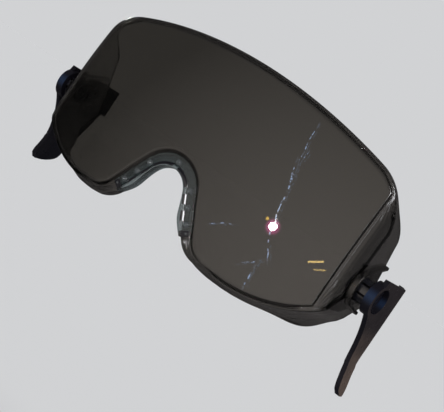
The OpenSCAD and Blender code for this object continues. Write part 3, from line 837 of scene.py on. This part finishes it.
def clip_grids(lens, bridge):
    """Clip at each leg's end: a flat super-ellipsoid across the leg (material 0) with a round nub on it (1).

    Both are given by the place of their middle across the leg, half their width across and down it, height,
    lift and power of the bulge.
    """
    path, normal, _, _ = nose_path(lens, bridge.leg, 3)
    along = np.array([math.sin(lens.nose_leg_angle), -math.cos(lens.nose_leg_angle)])
    rings, spokes = 17, 48
    u = np.linspace(-math.pi / 2, math.pi / 2, rings)[:, None]
    v = np.linspace(0, 2 * math.pi, spokes, endpoint=False)[None, :]
    block = (1.75 * MM, bridge.clip_width / 2, bridge.clip_length / 2, 0.30 * MM, 0.0, 0.3)
    nub = (2.6 * MM, 0.5 * MM, 0.5 * MM, 0.32 * MM, 0.26 * MM, 1.0)
    grids = []
    for number, (middle, across, down, high, lift, power) in enumerate((block, nub)):
        n = middle + across * bulge(np.cos(u), power) * bulge(np.cos(v), power)
        t = down * (bulge(np.cos(u), power) * bulge(np.sin(v), power)) - bridge.clip_length / 2
        place = path[0] + n[..., None] * normal[0] + t[..., None] * along
        shape = on_front(lens, place, bridge.lip_front - high * bulge(np.sin(u), power) - lift)
        grids += [(shape * (side, 1, 1), True, number) for side in (1, -1)]
    return grids


def stud_grids(lens, bridge):
    """Seven stud heads on the lip: one at the arch's top and three down each leg."""
    path, normal, _, _ = nose_path(lens, 0.0, 3)
    spots = [path[1] + normal[1] * bridge.stud_inset]
    leg = np.array([math.sin(lens.nose_leg_angle), -math.cos(lens.nose_leg_angle)])
    for i in range(3):
        spot = path[0] + normal[0] * bridge.stud_inset + leg * bridge.stud_pitch * i
        spots += [spot, spot * (-1, 1)]
    head = ringed_head(bridge.stud_r, bridge.stud_height, rings=15, spokes=32)
    return [(head + on_front(lens, spot, bridge.lip_front), True, 0) for spot in spots]


def rib_grids(lens, panel):
    """Horseshoe rib of each side panel: a rounded bar section carried up one rib, round the ring and back."""
    up = math.pi / 2 + panel.upper_angle
    low = 1.5 * math.pi - panel.lower_angle
    ring_rows, leg_rows = 40, 14
    ring = np.linspace(up, low, ring_rows)
    arc = panel.ring_r * np.stack([np.cos(ring), np.sin(ring)], -1)
    upper_way = np.array([math.cos(panel.upper_angle), math.sin(panel.upper_angle)])
    lower_way = np.array([math.cos(panel.lower_angle), -math.sin(panel.lower_angle)])
    join = 0.3 * MM
    upper = arc[0] + np.linspace(panel.upper_length, join, leg_rows)[:, None] * upper_way
    lower = arc[-1] + np.linspace(join, panel.lower_length, leg_rows)[:, None] * lower_way
    path = np.concatenate([upper, arc, lower])
    tangent = np.gradient(path, axis=0)
    tangent /= np.linalg.norm(tangent, axis=1, keepdims=True)
    normal = np.stack([tangent[:, 1], -tangent[:, 0]], -1)
    sunk, round_r, taper = -0.6 * MM, 0.5 * MM, 0.8
    foot, height = panel.rib_width / 2, panel.rib_height
    top = taper * foot
    section = rounded_section([(-foot, sunk), (foot, sunk), (top, height), (-top, height)], round_r)
    place = path[:, None] + section[None, :, :1] * normal[:, None]
    x = np.broadcast_to(lens.width / 2 + section[:, 1], place.shape[:2])
    rib = capped(np.stack([x, place[..., 0], place[..., 1]], -1))
    return [(rib * (side, 1, 1), True, 0) for side in (1, -1)]


def lever_shaper(arm, side):
    """Function that softens a lever's kink and rounds its tip on a mesh cut into level slices there."""

    kink_slices, tip_slices, last_turn, last_share = 7, 8, 1.35, 0.98

    def reshape(work):
        """Moves each vertex by its depth: sideways at the kink, towards the tip's middle at the end."""
        slices = [arm.kink_drop + arm.kink_soft * t for t in np.linspace(-1, 1, kink_slices)]
        slices += [arm.tip_drop - arm.tip_round * (1 - math.sin(t))
                   for t in np.linspace(0, last_turn, tip_slices)]
        for depth in slices:
            bmesh.ops.bisect_plane(work, geom=work.verts[:] + work.edges[:] + work.faces[:],
                                   plane_co=(0, 0, -depth), plane_no=(0, 0, 1), dist=COPY_GAP)
        places = np.array([v.co for v in work.verts])
        depth = -places[:, 2]
        below = depth - arm.kink_drop
        soft = np.where(np.abs(below) < arm.kink_soft, (below + arm.kink_soft) ** 2 / (4 * arm.kink_soft),
                        np.maximum(below, 0))
        places[:, 0] += side * (soft - np.maximum(below, 0)) * math.tan(arm.kink_angle)
        middle = arm.tip_front + arm.tip_width / 2 - arm.tip_drop * math.sin(arm.lift)
        into = np.clip((depth - arm.tip_drop + arm.tip_round) / arm.tip_round, 0, last_share)
        places[:, 1] = middle + (places[:, 1] - middle) * np.sqrt(1 - into ** 2)
        for vertex, place in zip(work.verts, places):
            vertex.co = place

    return reshape


# Materials

# Scuffed streaks on the window beside the glint, seen from the front, whose pale blue is partly painted
# glare: start, stop and half width in metres
SCUFFS_AND_PAINTED_GLARE = (
    ((0.0482, 0.0020), (0.0405, 0.0285), 0.0007),
    ((0.0460, 0.0080), (0.0382, 0.0440), 0.0006),
    ((0.0430, 0.0190), (0.0425, 0.0330), 0.0005),
    ((0.0486, -0.0010), (0.0545, -0.0125), 0.0006),
    ((0.0500, -0.0120), (0.0514, -0.0265), 0.0009),
    ((0.0520, -0.0115), (0.0425, -0.0200), 0.0006),
    ((0.0255, -0.0131), (0.0362, -0.0060), 0.0005),
)


class Wiring:
    """Short hand for building a node tree."""

    def __init__(self, tree):
        """Keeps the tree."""
        self.tree = tree

    def add(self, kind, values=None, **settings):
        """New node with its settings and with values or links for its inputs."""
        node = self.tree.nodes.new(kind)
        for key, value in settings.items():
            setattr(node, key, value)
        for key, value in (values or {}).items():
            self.feed(node.inputs[key], value)
        return node

    def feed(self, socket, value):
        """Sets a socket or links an output to it."""
        if isinstance(value, bpy.types.NodeSocket):
            self.tree.links.new(value, socket)
        else:
            socket.default_value = value

    def between(self, value, low, high, to_low=0.0, to_high=1.0, **settings):
        """Value mapped from one span to another and clamped."""
        node = self.add("ShaderNodeMapRange", {"Value": value, "From Min": low, "From Max": high,
                                               "To Min": to_low, "To Max": to_high}, **settings)
        return node.outputs["Result"]

    def maths(self, kind, a, b=0.0):
        """One arithmetic step."""
        return self.add("ShaderNodeMath", {0: a, 1: b}, operation=kind).outputs[0]

    def times(self, first, *others):
        """Product of values."""
        for other in others:
            first = self.maths("MULTIPLY", first, other)
        return first

    def along(self, way, direction):
        """Dot product of a vector and a fixed direction."""
        node = self.add("ShaderNodeVectorMath", {0: way, 1: direction}, operation="DOT_PRODUCT")
        return node.outputs["Value"]

    def mix(self, factor, a, b):
        """Colour mix."""
        return self.add("ShaderNodeMix", {0: factor, 6: a, 7: b}, data_type="RGBA").outputs[2]


class Nodes(Wiring):
    """One material's node tree, with its shader and the place in object coordinates."""

    def __init__(self, name):
        """New material with its shader and place."""
        self.material = bpy.data.materials.new(name)
        self.material.use_nodes = True
        super().__init__(self.material.node_tree)
        self.shader = self.tree.nodes["Principled BSDF"]
        self.place = self.add("ShaderNodeTexCoord").outputs["Object"]

    def set(self, **values):
        """Shader inputs by name, with underscores for spaces."""
        for key, value in values.items():
            self.feed(self.shader.inputs[key.replace("_", " ")], value)

    def noise(self, scale, detail=3.0, place=None):
        """Noise between 0 and 1."""
        values = {"Vector": place or self.place, "Scale": scale, "Detail": detail, "Roughness": 0.55}
        return self.add("ShaderNodeTexNoise", values).outputs["Fac"]

    def moved(self, **values):
        """Place moved, turned or stretched."""
        return self.add("ShaderNodeMapping", {"Vector": self.place, **values}).outputs["Vector"]

    def bump(self, scale, detail, distance, strength):
        """Normal of a fine grain."""
        values = {"Height": self.noise(scale, detail), "Distance": distance, "Strength": strength}
        return self.add("ShaderNodeBump", values).outputs["Normal"]


def rgba(rgb):
    """Colour property as four numbers."""
    return (*rgb, 1.0)


def scratches(nodes, scale, turn, thin):
    """Thin broken lines in one direction: the narrow peaks of a strongly stretched noise."""
    stretch, soft = 0.02, 0.02
    stretched = nodes.moved(Rotation=(0.0, turn, 0.0), Scale=(1.0, 1.0, stretch))
    line = nodes.between(nodes.noise(scale, 1.0, stretched), thin, thin + soft)
    gaps = nodes.between(nodes.noise(60.0, 2.0), 0.5, 0.62)
    return nodes.times(line, gaps)


def painted_glare_scuff(nodes, start, stop, width):
    """Broken hairline scuffs between two places seen from the front, also the mask of painted glare: a thin
    ruled strip cut up by noise.
    """
    (x0, z0), (x1, z1) = start, stop
    run = math.hypot(x1 - x0, z1 - z0)
    right, up = (x1 - x0) / run, (z1 - z0) / run
    place = nodes.moved(Location=(-x0, 0.0, -z0))
    down, across = nodes.along(place, (right, 0.0, up)), nodes.along(place, (up, 0.0, -right))
    wander, core, edge = 1.2 * width, 0.12 * width, 0.55 * width
    full_from, full_to = 0.05 * run, 0.8 * run
    bend = nodes.between(nodes.noise(120.0, 1.0), 0.2, 0.8, -wander, wander)
    off = nodes.maths("ABSOLUTE", nodes.maths("ADD", across, bend))
    strip = nodes.between(off, core, edge, 1.0, 0.0)
    starting = nodes.between(down, 0.0, full_from)
    ending = nodes.between(down, full_to, run, 1.0, 0.0)
    dashes = nodes.between(nodes.noise(560.0, 4.0), 0.45, 0.58)
    return nodes.times(strip, starting, ending, dashes)


def far_painted_edges(nodes):
    """Masks of a face seen through another clear piece: the whole face, and the painted highlight near its
    edges.
    """
    past_both_faces, sharpness, strength, least = 1.5, 5.0, 0.9, 0.08
    depth = nodes.add("ShaderNodeLightPath").outputs["Transmission Depth"]
    far = nodes.maths("GREATER_THAN", depth, past_both_faces)
    facing = nodes.add("ShaderNodeLayerWeight", {"Blend": 0.5}).outputs["Facing"]
    pale = nodes.maths("ADD", nodes.times(nodes.maths("POWER", facing, sharpness), strength), least)
    return far, nodes.times(far, pale)


def smoked_plastic(finish, name, tint, scuffed=False, far_painted_tint=None):
    """Polished smoke-tinted clear plastic with faint flow marks, hairline scratches, dust and, where scuffed,
    pale streaks that are partly painted glare.

    With a far tint, a face seen through another clear piece takes that pale tint and painted highlights on
    its
    edges: painted light that keeps the far panel readable there.
    """
    nodes = Nodes(name)
    hair_wear, dust_wear, worn_roughness, scuffed_clear = 0.4, 0.7, 0.36, 0.25
    denser = [0.88 * c for c in tint]
    dust = nodes.between(nodes.noise(2600.0, 1.0), 0.76, 0.80)
    hair = nodes.maths("ADD", scratches(nodes, 900.0, 0.5, 0.70), scratches(nodes, 700.0, -0.9, 0.72))
    wear = nodes.maths("MAXIMUM", nodes.times(hair, hair_wear), nodes.times(dust, dust_wear))
    tone = nodes.mix(nodes.noise(14.0, 2.0), rgba(tint), rgba(denser))
    clear = 1.0
    if far_painted_tint:
        # Painted light: far faces turn pale, and their edges get painted highlights
        far, pale = far_painted_edges(nodes)
        tone = nodes.mix(far, tone, rgba(far_painted_tint))
        clear = nodes.maths("SUBTRACT", 1.0, pale)
    if scuffed:
        painted_glare_scuffs = 0.0
        for start, stop, width in SCUFFS_AND_PAINTED_GLARE:
            painted_glare_scuffs = nodes.maths("MAXIMUM", painted_glare_scuffs, painted_glare_scuff(nodes, start, stop, width))
        wear = nodes.maths("MAXIMUM", wear, painted_glare_scuffs)
        # Pale blue in the scuffed streaks: rougher real scuffs, coloured as painted glare
        tone = nodes.mix(painted_glare_scuffs, tone, rgba(finish.scuff_and_painted_glare))
        clear = nodes.between(painted_glare_scuffs, 0.0, 1.0, 1.0, scuffed_clear)
    rough = nodes.between(wear, 0.0, 1.0, finish.lens_roughness, worn_roughness)
    nodes.set(Base_Color=tone, Transmission_Weight=clear, IOR=1.5, Roughness=rough)
    return nodes.material


def clear_soft_plastic(name, tint, clear):
    """Clear grey-green soft plastic with a cloudy tint and a fine grain."""
    nodes = Nodes(name)
    denser = [0.6 * c for c in tint]
    cloud = nodes.noise(180.0)
    tone = nodes.mix(cloud, rgba(tint), rgba(denser))
    nodes.set(Base_Color=tone, Transmission_Weight=clear, IOR=1.46, Specular_IOR_Level=0.9,
              Roughness=nodes.between(cloud, 0.3, 0.7, 0.06, 0.16),
              Normal=nodes.bump(1500.0, 2.0, 0.00003, 0.3))
    return nodes.material


def smoky_bushing_plastic(finish):
    """Dark smoky moulded plastic with glossy teeth, faint rubbed patches, and painted highlights on its edges
    where it is seen through the lens.
    """
    nodes = Nodes("Smoky bushing plastic")
    paler = [2.2 * c for c in finish.bushing]
    rubbed = nodes.between(nodes.noise(700.0, 4.0), 0.55, 0.75, 0.16, 0.34)
    tone = nodes.mix(nodes.noise(260.0), rgba(finish.bushing), rgba(paler))
    # Painted highlights on the bushing's edges where it is seen through the lens
    tone = nodes.mix(far_painted_edges(nodes)[1], tone, rgba(finish.far_painted_light))
    nodes.set(Base_Color=tone, Transmission_Weight=0.25, IOR=1.5, Coat_Weight=0.4, Coat_Roughness=0.08,
              Roughness=rubbed, Normal=nodes.bump(900.0, 3.0, 0.00003, 0.5))
    return nodes.material


def black_arm_plastic(finish):
    """Moulded black plastic with a fine grain.

    The outer flats have a painted brownish sheen that grows towards the lever's tip, and the hub has a
    painted bluish highlight where it faces the front at the height of the tilt axis.
    """
    nodes = Nodes("Black arm plastic")
    painted_sheen_full_z, painted_sheen_least_z, painted_sheen_least = -26 * MM, -10 * MM, 0.14
    hub_r, hub_edge_r, painted_gleam_rim, painted_gleam_fall = 8.5 * MM, 9.5 * MM, 0.80, 3.0
    normal = nodes.add("ShaderNodeTexCoord").outputs["Normal"]
    facing = nodes.add("ShaderNodeSeparateXYZ", {"Vector": normal}).outputs
    place = nodes.add("ShaderNodeSeparateXYZ", {"Vector": nodes.place}).outputs
    # Painted sheen: outward flats turn brown, more so towards the lever's tip
    outward = nodes.between(nodes.times(facing["X"], nodes.maths("SIGN", place["X"])), 0.6, 0.95)
    patch = nodes.between(nodes.noise(120.0), 0.35, 0.75, 0.55, 1.0)
    low = nodes.between(place["Z"], painted_sheen_full_z, painted_sheen_least_z, 1.0, painted_sheen_least)
    tone = nodes.mix(nodes.times(outward, patch, low), rgba(finish.black), rgba(finish.painted_sheen))
    # Painted highlight: the hub turns bluish where it faces the front near the tilt axis
    squares = nodes.maths("ADD", nodes.times(place["Y"], place["Y"]), nodes.times(place["Z"], place["Z"]))
    radius = nodes.maths("SQRT", squares)
    level = nodes.maths("ABSOLUTE", nodes.maths("DIVIDE", place["Y"], radius))
    ahead = nodes.between(facing["Y"], -0.6, -0.8)
    on_hub = nodes.between(radius, hub_r, hub_edge_r, 1.0, 0.0)
    at_axis = nodes.maths("POWER", nodes.between(level, painted_gleam_rim, 1.0), painted_gleam_fall)
    tone = nodes.mix(nodes.times(ahead, on_hub, at_axis), tone, rgba(finish.painted_gleam))
    rough = nodes.between(nodes.noise(420.0, 4.0), 0.3, 0.75, 0.24, 0.44)
    nodes.set(Base_Color=tone, Roughness=rough, Specular_IOR_Level=0.08,
              Normal=nodes.bump(2200.0, 3.0, 0.00002, 0.6))
    return nodes.material


def plain_black_plastic(finish, name, rough, specular):
    """Black plastic of one tone with a fine grain and slightly uneven gloss."""
    nodes = Nodes(name)
    uneven = nodes.between(nodes.noise(420.0, 4.0), 0.3, 0.75, 0.8 * rough, 1.2 * rough)
    nodes.set(Base_Color=rgba(finish.black), Roughness=uneven, Specular_IOR_Level=specular,
              Normal=nodes.bump(2200.0, 3.0, 0.00002, 0.4))
    return nodes.material


# Operators


class BuildStep(bpy.types.Operator):
    """Shared part of every step: the sizes and finishes that the scene holds."""
    bl_options = {"REGISTER", "UNDO"}

    @property
    def sizes(self):
        """All property groups on the scene."""
        return bpy.context.scene.glasses


class GLASSES_OT_lens(BuildStep):
    """Build the smoked wrap lens"""
    bl_idname = "glasses.lens"
    bl_label = "Smoked Lens"

    def execute(self, context):
        """Replaces the CAD lens by its dressed surface."""
        s = self.sizes
        window = smoked_plastic(s.finish, "Smoked window plastic", s.finish.smoke, scuffed=True)
        # Painted shade: the rounded step round the window is tinted nearly black
        painted_shade_tint = [0.15 * c for c in s.finish.smoke]
        edge = smoked_plastic(s.finish, "Smoked window painted shade", painted_shade_tint)
        rim = smoked_plastic(s.finish, "Smoked rim plastic", s.finish.rim_smoke, far_painted_tint=s.finish.far_painted_light)
        shape = LensRows(s.lens, s.panel, s.bridge).grids()
        lens = build_piece("smoked_lens", shape, [window, edge, rim], "visor")
        ribs = build_piece("panel_ribs", rib_grids(s.lens, s.panel), [rim], "visor")
        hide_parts("lens_shell")
        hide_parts("lens_shell")
        return {"FINISHED"}


class GLASSES_OT_bridge(BuildStep):
    """Build the soft nose bridge and its stud heads"""
    bl_idname = "glasses.bridge"
    bl_label = "Nose Bridge"

    def execute(self, context):
        """Replaces the CAD bridge and studs."""
        s = self.sizes
        clear = clear_soft_plastic("Clear soft plastic", s.finish.bridge, clear=0.94)
        pale = clear_soft_plastic("Clear stud plastic", s.finish.studs, clear=0.8)
        dark = plain_black_plastic(s.finish, "Black clip plastic", rough=0.35, specular=0.3)
        gloss = plain_black_plastic(s.finish, "Glossy black plastic", rough=0.08, specular=1.0)
        bridge = build_piece("soft_bridge", bridge_grids(s.lens, s.bridge), [clear], "visor")
        studs = build_piece("stud_heads", stud_grids(s.lens, s.bridge), [pale], "visor")
        build_piece("bridge_slots", slot_grids(s.lens, s.bridge), [gloss, dark], "visor")
        build_piece("bridge_clips", clip_grids(s.lens, s.bridge), [dark, pale], "visor")
        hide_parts("nose_bridge")
        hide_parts("bridge_studs")
        return {"FINISHED"}


class GLASSES_OT_arms(BuildStep):
    """Build the two arms with rounded edges"""
    bl_idname = "glasses.arms"
    bl_label = "Arms"

    def execute(self, context):
        """Replaces both CAD arms."""
        s = self.sizes
        material = black_arm_plastic(s.finish)
        for side, sign in (("left", -1), ("right", 1)):
            soft_copy(f"{side}_arm", f"{side}_tilt_arm", s.arm.arm_edge, material, f"{side}_arm",
                      lever_shaper(s.arm, sign))
        return {"FINISHED"}


class GLASSES_OT_bushings(BuildStep):
    """Build the two toothed bushings and their pivot pins"""
    bl_idname = "glasses.bushings"
    bl_label = "Ratchet Bushings"

    def execute(self, context):
        """Replaces both CAD bushings and pins."""
        s = self.sizes
        smoky = smoky_bushing_plastic(s.finish)
        black = plain_black_plastic(s.finish, "Black pin plastic", rough=0.30, specular=0.2)
        for side in ("left", "right"):
            soft_copy(f"{side}_bushing", f"{side}_toothed_bushing", s.arm.bushing_edge, smoky, "visor")
            soft_copy(f"{side}_pivot_pin", f"{side}_pin", s.arm.pin_edge, black, "visor")
        return {"FINISHED"}


class GLASSES_OT_stage(BuildStep):
    """Build the floor, the backdrop, the lamps and the camera"""
    bl_idname = "glasses.stage"
    bl_label = "Stage"

    def execute(self, context):
        """Plain pale floor, soft light and the photograph's camera."""
        s = self.sizes
        add_camera(s.stage)
        add_floor(s.finish)
        add_world(s.finish)
        add_lamps()
        context.scene.view_settings.view_transform = "Standard"
        return {"FINISHED"}


def add_camera(stage):
    """Camera turned to the azimuth, raised by the elevation, rolled, and moved back from its target."""
    data = bpy.data.cameras.new("Camera")
    data.lens = stage.focal_mm
    data.sensor_width = 36.0
    data.sensor_fit = "HORIZONTAL"
    data.clip_start = 0.01
    camera = bpy.data.objects.new("Camera", data)
    turn = Matrix.Rotation(stage.azimuth, 4, "Z") @ Matrix.Rotation(math.pi / 2 - stage.elevation, 4, "X")
    back = Matrix.Translation((0.0, 0.0, stage.distance))
    camera.matrix_world = Matrix.Translation(stage.target) @ turn @ Matrix.Rotation(stage.roll, 4, "Z") @ back
    bpy.context.scene.collection.objects.link(camera)
    bpy.context.scene.camera = camera


def add_floor(finish):
    """Pale floor below the arms' tips, as bright as the backdrop under the lamps and unseen by gloss."""
    low = cad_box[0][2] - FLOOR_GAP
    corners = [(x * FLOOR_REACH, y * FLOOR_REACH, low) for x, y in ((-1, -1), (1, -1), (1, 1), (-1, 1))]
    mesh = bpy.data.meshes.new("floor")
    mesh.from_pydata(corners, [], [(0, 1, 2, 3)])
    light = WORLD_LEVEL + sum(strength * max(math.sin(height), 0.0) / math.pi
                              for strength, _, _, height in LAMPS.values())
    nodes = Nodes("Pale floor")
    nodes.set(Base_Color=rgba([c / light for c in finish.backdrop]), Roughness=0.9, Specular_IOR_Level=0.0)
    mesh.materials.append(nodes.material)
    floor = bpy.data.objects.new("floor", mesh)
    floor.visible_glossy = False
    bpy.context.scene.collection.objects.link(floor)


def add_world(finish):
    """Pale backdrop for camera and transmission rays, even light for diffuse rays, and a studio for gloss.

    In front, gloss sees a dim room with a broad soft glow that falls off with the angle from its middle, and
    long lamps on it. Behind the object it sees an even level, and round lamps lie over both.
    """
    world = bpy.data.worlds.new("Studio")
    world.use_nodes = True
    nodes = Wiring(world.node_tree)
    way = nodes.add("ShaderNodeTexCoord").outputs["Generated"]
    glow_way = (math.sin(GLOW_TURN) * math.cos(GLOW_RISE), -math.cos(GLOW_TURN) * math.cos(GLOW_RISE),
                math.sin(GLOW_RISE))
    glow = nodes.maths("POWER", nodes.between(nodes.along(way, glow_way), GLOW_RIM, 1.0), GLOW_FALL)
    front = nodes.mix(glow, rgba(ROOM_LEVEL), rgba(GLOW_LEVEL))
    for start, stop, thick, level in BARS:
        middle, run = np.add(start, stop) / 2, np.subtract(stop, start)
        half = np.linalg.norm(run) / 2
        down = run / (2 * half)
        place = nodes.maths("SUBTRACT", nodes.along(way, down), float(middle @ down))
        in_length = nodes.maths("LESS_THAN", nodes.maths("ABSOLUTE", place), half)
        off = nodes.maths("ABSOLUTE", nodes.along(way, np.cross(middle, down)))
        in_width = nodes.maths("LESS_THAN", off, thick)
        front = nodes.mix(nodes.times(in_length, in_width), front, rgba(level))
    y = nodes.add("ShaderNodeSeparateXYZ", {0: way}).outputs["Y"]
    behind = nodes.between(y, BEHIND_START, BEHIND_STOP, interpolation_type="SMOOTHSTEP")
    gloss = nodes.mix(behind, front, rgba(BEHIND_LEVEL))
    for middle, inner, outer, level in DISCS:
        inside = nodes.between(nodes.along(way, middle), math.cos(outer), math.cos(inner),
                               interpolation_type="SMOOTHSTEP")
        gloss = nodes.mix(inside, gloss, rgba(level))
    paths = nodes.add("ShaderNodeLightPath").outputs
    plain = nodes.mix(paths["Is Glossy Ray"], rgba([WORLD_LEVEL] * 3), gloss)
    seen = nodes.maths("MAXIMUM", paths["Is Camera Ray"], paths["Is Transmission Ray"])
    seen_now = nodes.mix(seen, plain, rgba(finish.backdrop))
    nodes.feed(nodes.tree.nodes["Background"].inputs["Color"], seen_now)
    bpy.context.scene.world = world


def add_lamps():
    """Soft key light from above, a small front lamp whose reflection gives the glint, and a side lamp."""
    for name, (strength, spread, turn, height) in LAMPS.items():
        data = bpy.data.lights.new(name, "SUN")
        data.energy = strength
        data.angle = spread
        lamp = bpy.data.objects.new(name, data)
        lamp.rotation_euler = (math.pi / 2 - height, 0.0, turn)
        bpy.context.scene.collection.objects.link(lamp)


class GlassesSizes(bpy.types.PropertyGroup):
    """All sizes and finishes of the glasses."""
    lens: bpy.props.PointerProperty(type=LensSizes, name="Lens", description="Sizes of the lens")
    bridge: bpy.props.PointerProperty(type=BridgeSizes, name="Bridge", description="Sizes of the bridge")
    panel: bpy.props.PointerProperty(type=PanelSizes, name="Panels", description="Sizes of the side panels")
    arm: bpy.props.PointerProperty(type=ArmSizes, name="Arms", description="Sizes of the arms' edges")
    finish: bpy.props.PointerProperty(type=Finishes, name="Finishes", description="Colours")
    stage: bpy.props.PointerProperty(type=StageSizes, name="Stage", description="Camera")


STEPS = (GLASSES_OT_stage, GLASSES_OT_lens, GLASSES_OT_bridge, GLASSES_OT_bushings, GLASSES_OT_arms)


class GLASSES_PT_sidebar(bpy.types.Panel):
    """Sidebar list of the build steps"""
    bl_label = "Helmet Safety Glasses"
    bl_idname = "GLASSES_PT_sidebar"
    bl_space_type = "VIEW_3D"
    bl_region_type = "UI"
    bl_category = "Glasses"

    def draw(self, context):
        """One button for each step."""
        for step in STEPS:
            self.layout.operator(step.bl_idname)


CLASSES = (LensSizes, BridgeSizes, PanelSizes, ArmSizes, Finishes, StageSizes, GlassesSizes, *STEPS,
           GLASSES_PT_sidebar)


def register():
    """Adds the classes and the scene's sizes."""
    for cls in CLASSES:
        bpy.utils.register_class(cls)
    bpy.types.Scene.glasses = bpy.props.PointerProperty(type=GlassesSizes)


def unregister():
    """Removes what register added."""
    del bpy.types.Scene.glasses
    for cls in reversed(CLASSES):
        bpy.utils.unregister_class(cls)


def main():
    """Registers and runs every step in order."""
    register()
    for step in STEPS:
        group, name = step.bl_idname.split(".")
        getattr(getattr(bpy.ops, group), name)()


if __name__ == "__main__":
    main()
